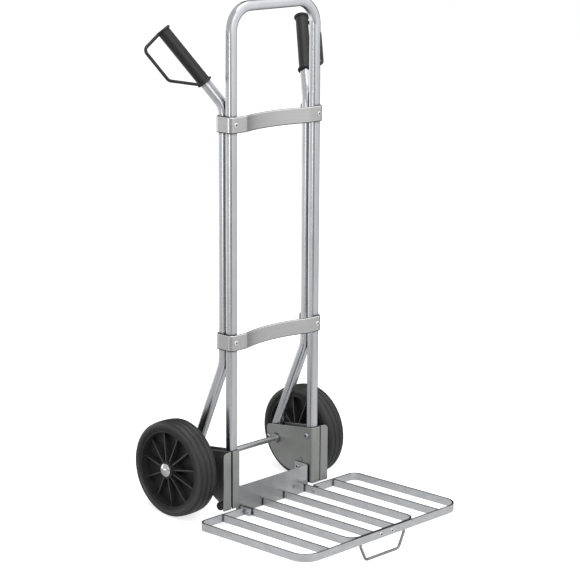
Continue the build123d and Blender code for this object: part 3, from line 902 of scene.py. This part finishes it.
class TRUCK_OT_base_plate(bpy.types.Operator):
    """Finish the base plate and the lugs of the toe's hinge, and set the plate's screws and rivet"""
    bl_idname = "truck.base_plate"
    bl_label = "Base plate"

    def execute(self, context):
        finish_node("base_plate", sizes().sheet_edge)
        for side in SIDE_NAMES:
            finish_node("hinge_lug_" + side, sizes().sheet_edge)
        low, high = upright_box("base_plate")
        tab = high.x - TAB_THICKNESS
        screws = [on_bracket(side, tab, place) for side in SIDES for place in TAB_SCREW_PLACES]
        fasteners("tab_screws", socket_screw(sizes().screw_head, SCREW_HEAD_HEIGHT), screws, "frame")
        height = upright_box("inner_cheek_right")[0].z + PLATE_RIVET_RISE
        rivet = facing((sizes().plate_rivet_place, low.y, height), (0, -1, 0))
        fasteners("plate_rivet", flush_rivet(sizes().plate_rivet), [rivet], "frame")
        return {"FINISHED"}


class TRUCK_OT_toe(bpy.types.Operator):
    """Finish the folding toe and set its front rivets"""
    bl_idname = "truck.toe"
    bl_label = "Toe"

    def execute(self, context):
        for node in ("toe_outer_frame", "toe_inner_frame", "toe_side_bar_left", "toe_side_bar_right",
                     "toe_inner_bar_left", "toe_inner_bar_right"):
            finish_node(node, sizes().bar_edge, BAR_CREASE)
        finish_node("toe_hinge_pins")
        low, high = upright_box("toe_outer_frame")
        half = sizes().toe_rivet_spacing / 2
        places = [facing((side * half, low.y, (low.z + high.z) / 2), (0, -1, 0)) for side in SIDES]
        fasteners("toe_front_rivets", blind_rivet(sizes().toe_rivet), places, "toe", finish="rivet")
        return {"FINISHED"}


class TRUCK_OT_stand(bpy.types.Operator):
    """Finish the wire stand and its clip"""
    bl_idname = "truck.stand"
    bl_label = "Stand"

    def execute(self, context):
        finish_node("stand_clip")
        finish_node("stand_bail", crease=WIRE_CREASE)
        return {"FINISHED"}


# Studio

def stage_piece(name, bm, material):
    """An object of the studio, which is no piece of the truck."""
    mesh = bpy.data.meshes.new(name)
    bm.to_mesh(mesh)
    bm.free()
    mesh.materials.append(material)
    piece = bpy.data.objects.new(name, mesh)
    bpy.context.scene.collection.objects.link(piece)
    return piece


def white_where_seen(tree, white, lit):
    """Mixes in white for the rays that see it directly, in a mirror or through glass."""
    path = add_node(tree, "ShaderNodeLightPath")
    seen = add_node(tree, "ShaderNodeMath", {"operation": "ADD", 0: path.outputs["Is Camera Ray"],
                                             1: path.outputs["Is Glossy Ray"]})
    any_seen = add_node(tree, "ShaderNodeMath", {"operation": "ADD", "use_clamp": True,
                                                 0: seen.outputs["Value"],
                                                 1: path.outputs["Is Transmission Ray"]})
    mix = add_node(tree, "ShaderNodeMixShader", {0: any_seen.outputs["Value"], 1: lit, 2: white})
    return mix.outputs[0]


def studio_floor(settings):
    """A pale floor that takes the truck's shadow and is seen white."""
    material, tree = new_material("White studio floor")
    matt = add_node(tree, "ShaderNodeBsdfDiffuse", {"Color": FLOOR_GREY})
    glow = add_node(tree, "ShaderNodeEmission", {"Color": WHITE, "Strength": settings.floor_glow})
    seen = add_node(tree, "ShaderNodeAddShader", {0: matt.outputs[0], 1: glow.outputs[0]})
    mix = white_where_seen(tree, seen.outputs[0], matt.outputs[0])
    add_node(tree, "ShaderNodeOutputMaterial", {"Surface": mix})
    bm = bmesh.new()
    bmesh.ops.create_grid(bm, x_segments=1, y_segments=1, size=settings.floor_size / 2)
    stage_piece("Floor", bm, material)


def studio_room(settings):
    """Even light from all round, which is seen white."""
    world = bpy.data.worlds.new("White studio")
    tree = empty_tree(world)
    white = add_node(tree, "ShaderNodeBackground", {"Color": WHITE, "Strength": 1.0})
    lit = add_node(tree, "ShaderNodeBackground", {"Color": WHITE, "Strength": settings.world_level})
    mix = white_where_seen(tree, white.outputs[0], lit.outputs[0])
    add_node(tree, "ShaderNodeOutputWorld", {"Surface": mix})
    bpy.context.scene.world = world


def eased(tree, value, step, low, high):
    """A soft step from one level to another, each a number or an output."""
    return add_node(tree, "ShaderNodeMapRange", {
        "interpolation_type": "SMOOTHSTEP", "Value": value, "From Min": step[0], "From Max": step[1],
        "To Min": low, "To Max": high}).outputs["Result"]


def towards(tree, away, direction):
    """How far a place on the cards lies towards a level direction."""
    return add_node(tree, "ShaderNodeVectorMath",
                    {"operation": "DOT_PRODUCT", 0: away, 1: direction}).outputs["Value"]


def card_level(tree, settings):
    """The cards' light: even close by, with light and dark strips far off, under a sky."""
    front = Vector(settings.camera_place).xy.normalized().to_3d()
    left = Vector((front.y, -front.x, 0))
    place = add_node(tree, "ShaderNodeTexCoord")
    parts = add_node(tree, "ShaderNodeSeparateXYZ", {"Vector": place.outputs["Object"]})
    flat = add_node(tree, "ShaderNodeVectorMath",
                    {"operation": "MULTIPLY", 0: place.outputs["Object"], 1: (1, 1, 0)}).outputs["Vector"]
    reach = add_node(tree, "ShaderNodeVectorMath", {"operation": "LENGTH", 0: flat}).outputs["Value"]
    away = add_node(tree, "ShaderNodeVectorMath", {"operation": "NORMALIZE", 0: flat}).outputs["Vector"]
    to_front = towards(tree, away, front)
    to_left = towards(tree, away, left)
    to_strip = towards(tree, away, left * sin(STRIP_ANGLE) + front * cos(STRIP_ANGLE))
    to_slim = towards(tree, away, left * sin(SLIM_ANGLE) + front * cos(SLIM_ANGLE))
    far_strip = eased(tree, reach, STRIP_REACH, 0.0, settings.card_strip)
    strip = eased(tree, to_strip, STRIP_TURN, 0.0, far_strip)
    # The rounded corners of the tall tubes mirror a slim lamp and a dark gap round the camera.
    far_slim = eased(tree, reach, SLIM_REACH, 0.0, settings.slim_lamp)
    slim = eased(tree, to_slim, SLIM_TURN, 0.0, far_slim)
    gap = eased(tree, to_front, GAP_TURN, 1.0, settings.camera_gap)
    far_gap = eased(tree, reach, GAP_REACH, 1.0, gap)
    across = eased(tree, to_left, ACROSS_TURN, settings.card_right, settings.card_left)
    behind = eased(tree, to_front, BEHIND_TURN, settings.card_back, 1.0)
    dimmed = add_node(tree, "ShaderNodeMath", {"operation": "MULTIPLY", 0: behind, 1: far_gap})
    strips = add_node(tree, "ShaderNodeMath", {"operation": "ADD", 0: strip, 1: slim})
    walls = add_node(tree, "ShaderNodeMath", {"operation": "MULTIPLY_ADD", 0: across,
                                              1: dimmed.outputs["Value"], 2: strips.outputs["Value"]})
    near = eased(tree, parts.outputs["Y"], NEAR_BACK, settings.near_front, settings.near_back)
    low = eased(tree, reach, NEAR_REACH, near, walls.outputs["Value"])
    sky = eased(tree, to_left, SKY_TURN, settings.sky_right, settings.sky_left)
    # The walls reach higher behind the truck than beside it.
    height = add_node(tree, "ShaderNodeMath", {"operation": "DIVIDE", 0: parts.outputs["Z"],
                                               1: settings.tent_radius})
    dip = add_node(tree, "ShaderNodeMath", {"operation": "MINIMUM", 0: to_front, 1: 0.0})
    rise = add_node(tree, "ShaderNodeMath", {"operation": "MULTIPLY_ADD", 0: dip.outputs["Value"],
                                             1: BACK_WALL_RISE, 2: height.outputs["Value"]})
    return eased(tree, rise.outputs["Value"], SKY_RISE, low, sky)


def card_tent(settings):
    """A tent of grey cards, seen only in the metal, as in a product studio."""
    material, tree = new_material("Grey cards, light towards the camera")
    glow = add_node(tree, "ShaderNodeEmission", {"Color": WHITE, "Strength": card_level(tree, settings)})
    add_node(tree, "ShaderNodeOutputMaterial", {"Surface": glow.outputs[0]})
    bm = bmesh.new()
    bmesh.ops.create_uvsphere(bm, u_segments=TENT_SEGMENTS, v_segments=TENT_SEGMENTS // 2,
                              radius=settings.tent_radius)
    bmesh.ops.bisect_plane(bm, geom=bm.verts[:] + bm.edges[:] + bm.faces[:], dist=TOUCH,
                           clear_inner=True, plane_co=(0, 0, CARD_LIFT), plane_no=(0, 0, 1))
    bmesh.ops.holes_fill(bm, edges=[edge for edge in bm.edges if edge.is_boundary], sides=0)
    cards = stage_piece("Cards", bm, material)
    cards.visible_camera = False
    cards.visible_diffuse = False
    cards.visible_transmission = False
    cards.visible_shadow = False


def add_lamp(name, place, width, power):
    """A soft square lamp that shines at the truck's middle."""
    light = bpy.data.lights.new(name, "AREA")
    light.size = width
    light.energy = power
    lamp = bpy.data.objects.new(name, light)
    lamp.location = place
    lamp.rotation_euler = (LAMP_AIM - lamp.location).to_track_quat("-Z", "Y").to_euler()
    bpy.context.scene.collection.objects.link(lamp)


def add_camera(settings):
    """The camera, which looks down a little at the truck's front and left."""
    camera = bpy.data.cameras.new("Camera")
    camera.lens = settings.camera_lens
    camera.sensor_width = FILM_WIDTH
    camera.clip_end = VIEW_REACH
    eye = bpy.data.objects.new("Camera", camera)
    eye.location = settings.camera_place
    eye.rotation_euler = settings.camera_turn
    bpy.context.scene.collection.objects.link(eye)
    bpy.context.scene.camera = eye


class TRUCK_OT_stage(bpy.types.Operator):
    """Set the floor, the light and the camera"""
    bl_idname = "truck.stage"
    bl_label = "Stage"

    def execute(self, context):
        settings = context.scene.truck_stage
        studio_floor(settings)
        studio_room(settings)
        card_tent(settings)
        for lamp in LAMPS:
            add_lamp(*lamp)
        add_camera(settings)
        context.scene.view_settings.view_transform = "Standard"
        return {"FINISHED"}


OPERATORS = (TRUCK_OT_tubes, TRUCK_OT_crossbars, TRUCK_OT_grips, TRUCK_OT_brackets, TRUCK_OT_wheels,
             TRUCK_OT_base_plate, TRUCK_OT_toe, TRUCK_OT_stand, TRUCK_OT_stage)


class TRUCK_PT_panel(bpy.types.Panel):
    """Hand truck pieces in the sidebar"""
    bl_idname = "TRUCK_PT_panel"
    bl_label = "Hand Truck"
    bl_space_type = "VIEW_3D"
    bl_region_type = "UI"
    bl_category = "Hand Truck"

    def draw(self, context):
        for operator in OPERATORS:
            self.layout.operator(operator.bl_idname)


CLASSES = (TruckSizes, TruckFinishes, StudioStage, *OPERATORS, TRUCK_PT_panel)


def register():
    """Registers the classes and gives the scene its settings."""
    for cls in CLASSES:
        bpy.utils.register_class(cls)
    bpy.types.Scene.truck_sizes = PointerProperty(type=TruckSizes)
    bpy.types.Scene.truck_finishes = PointerProperty(type=TruckFinishes)
    bpy.types.Scene.truck_stage = PointerProperty(type=StudioStage)


def unregister():
    """Takes the settings and the classes away again."""
    del bpy.types.Scene.truck_stage
    del bpy.types.Scene.truck_finishes
    del bpy.types.Scene.truck_sizes
    for cls in reversed(CLASSES):
        bpy.utils.unregister_class(cls)


def main():
    """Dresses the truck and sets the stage."""
    register()
    bpy.ops.truck.tubes()
    bpy.ops.truck.crossbars()
    bpy.ops.truck.grips()
    bpy.ops.truck.brackets()
    bpy.ops.truck.wheels()
    bpy.ops.truck.base_plate()
    bpy.ops.truck.toe()
    bpy.ops.truck.stand()
    bpy.ops.truck.stage()


if __name__ == "__main__":
    main()
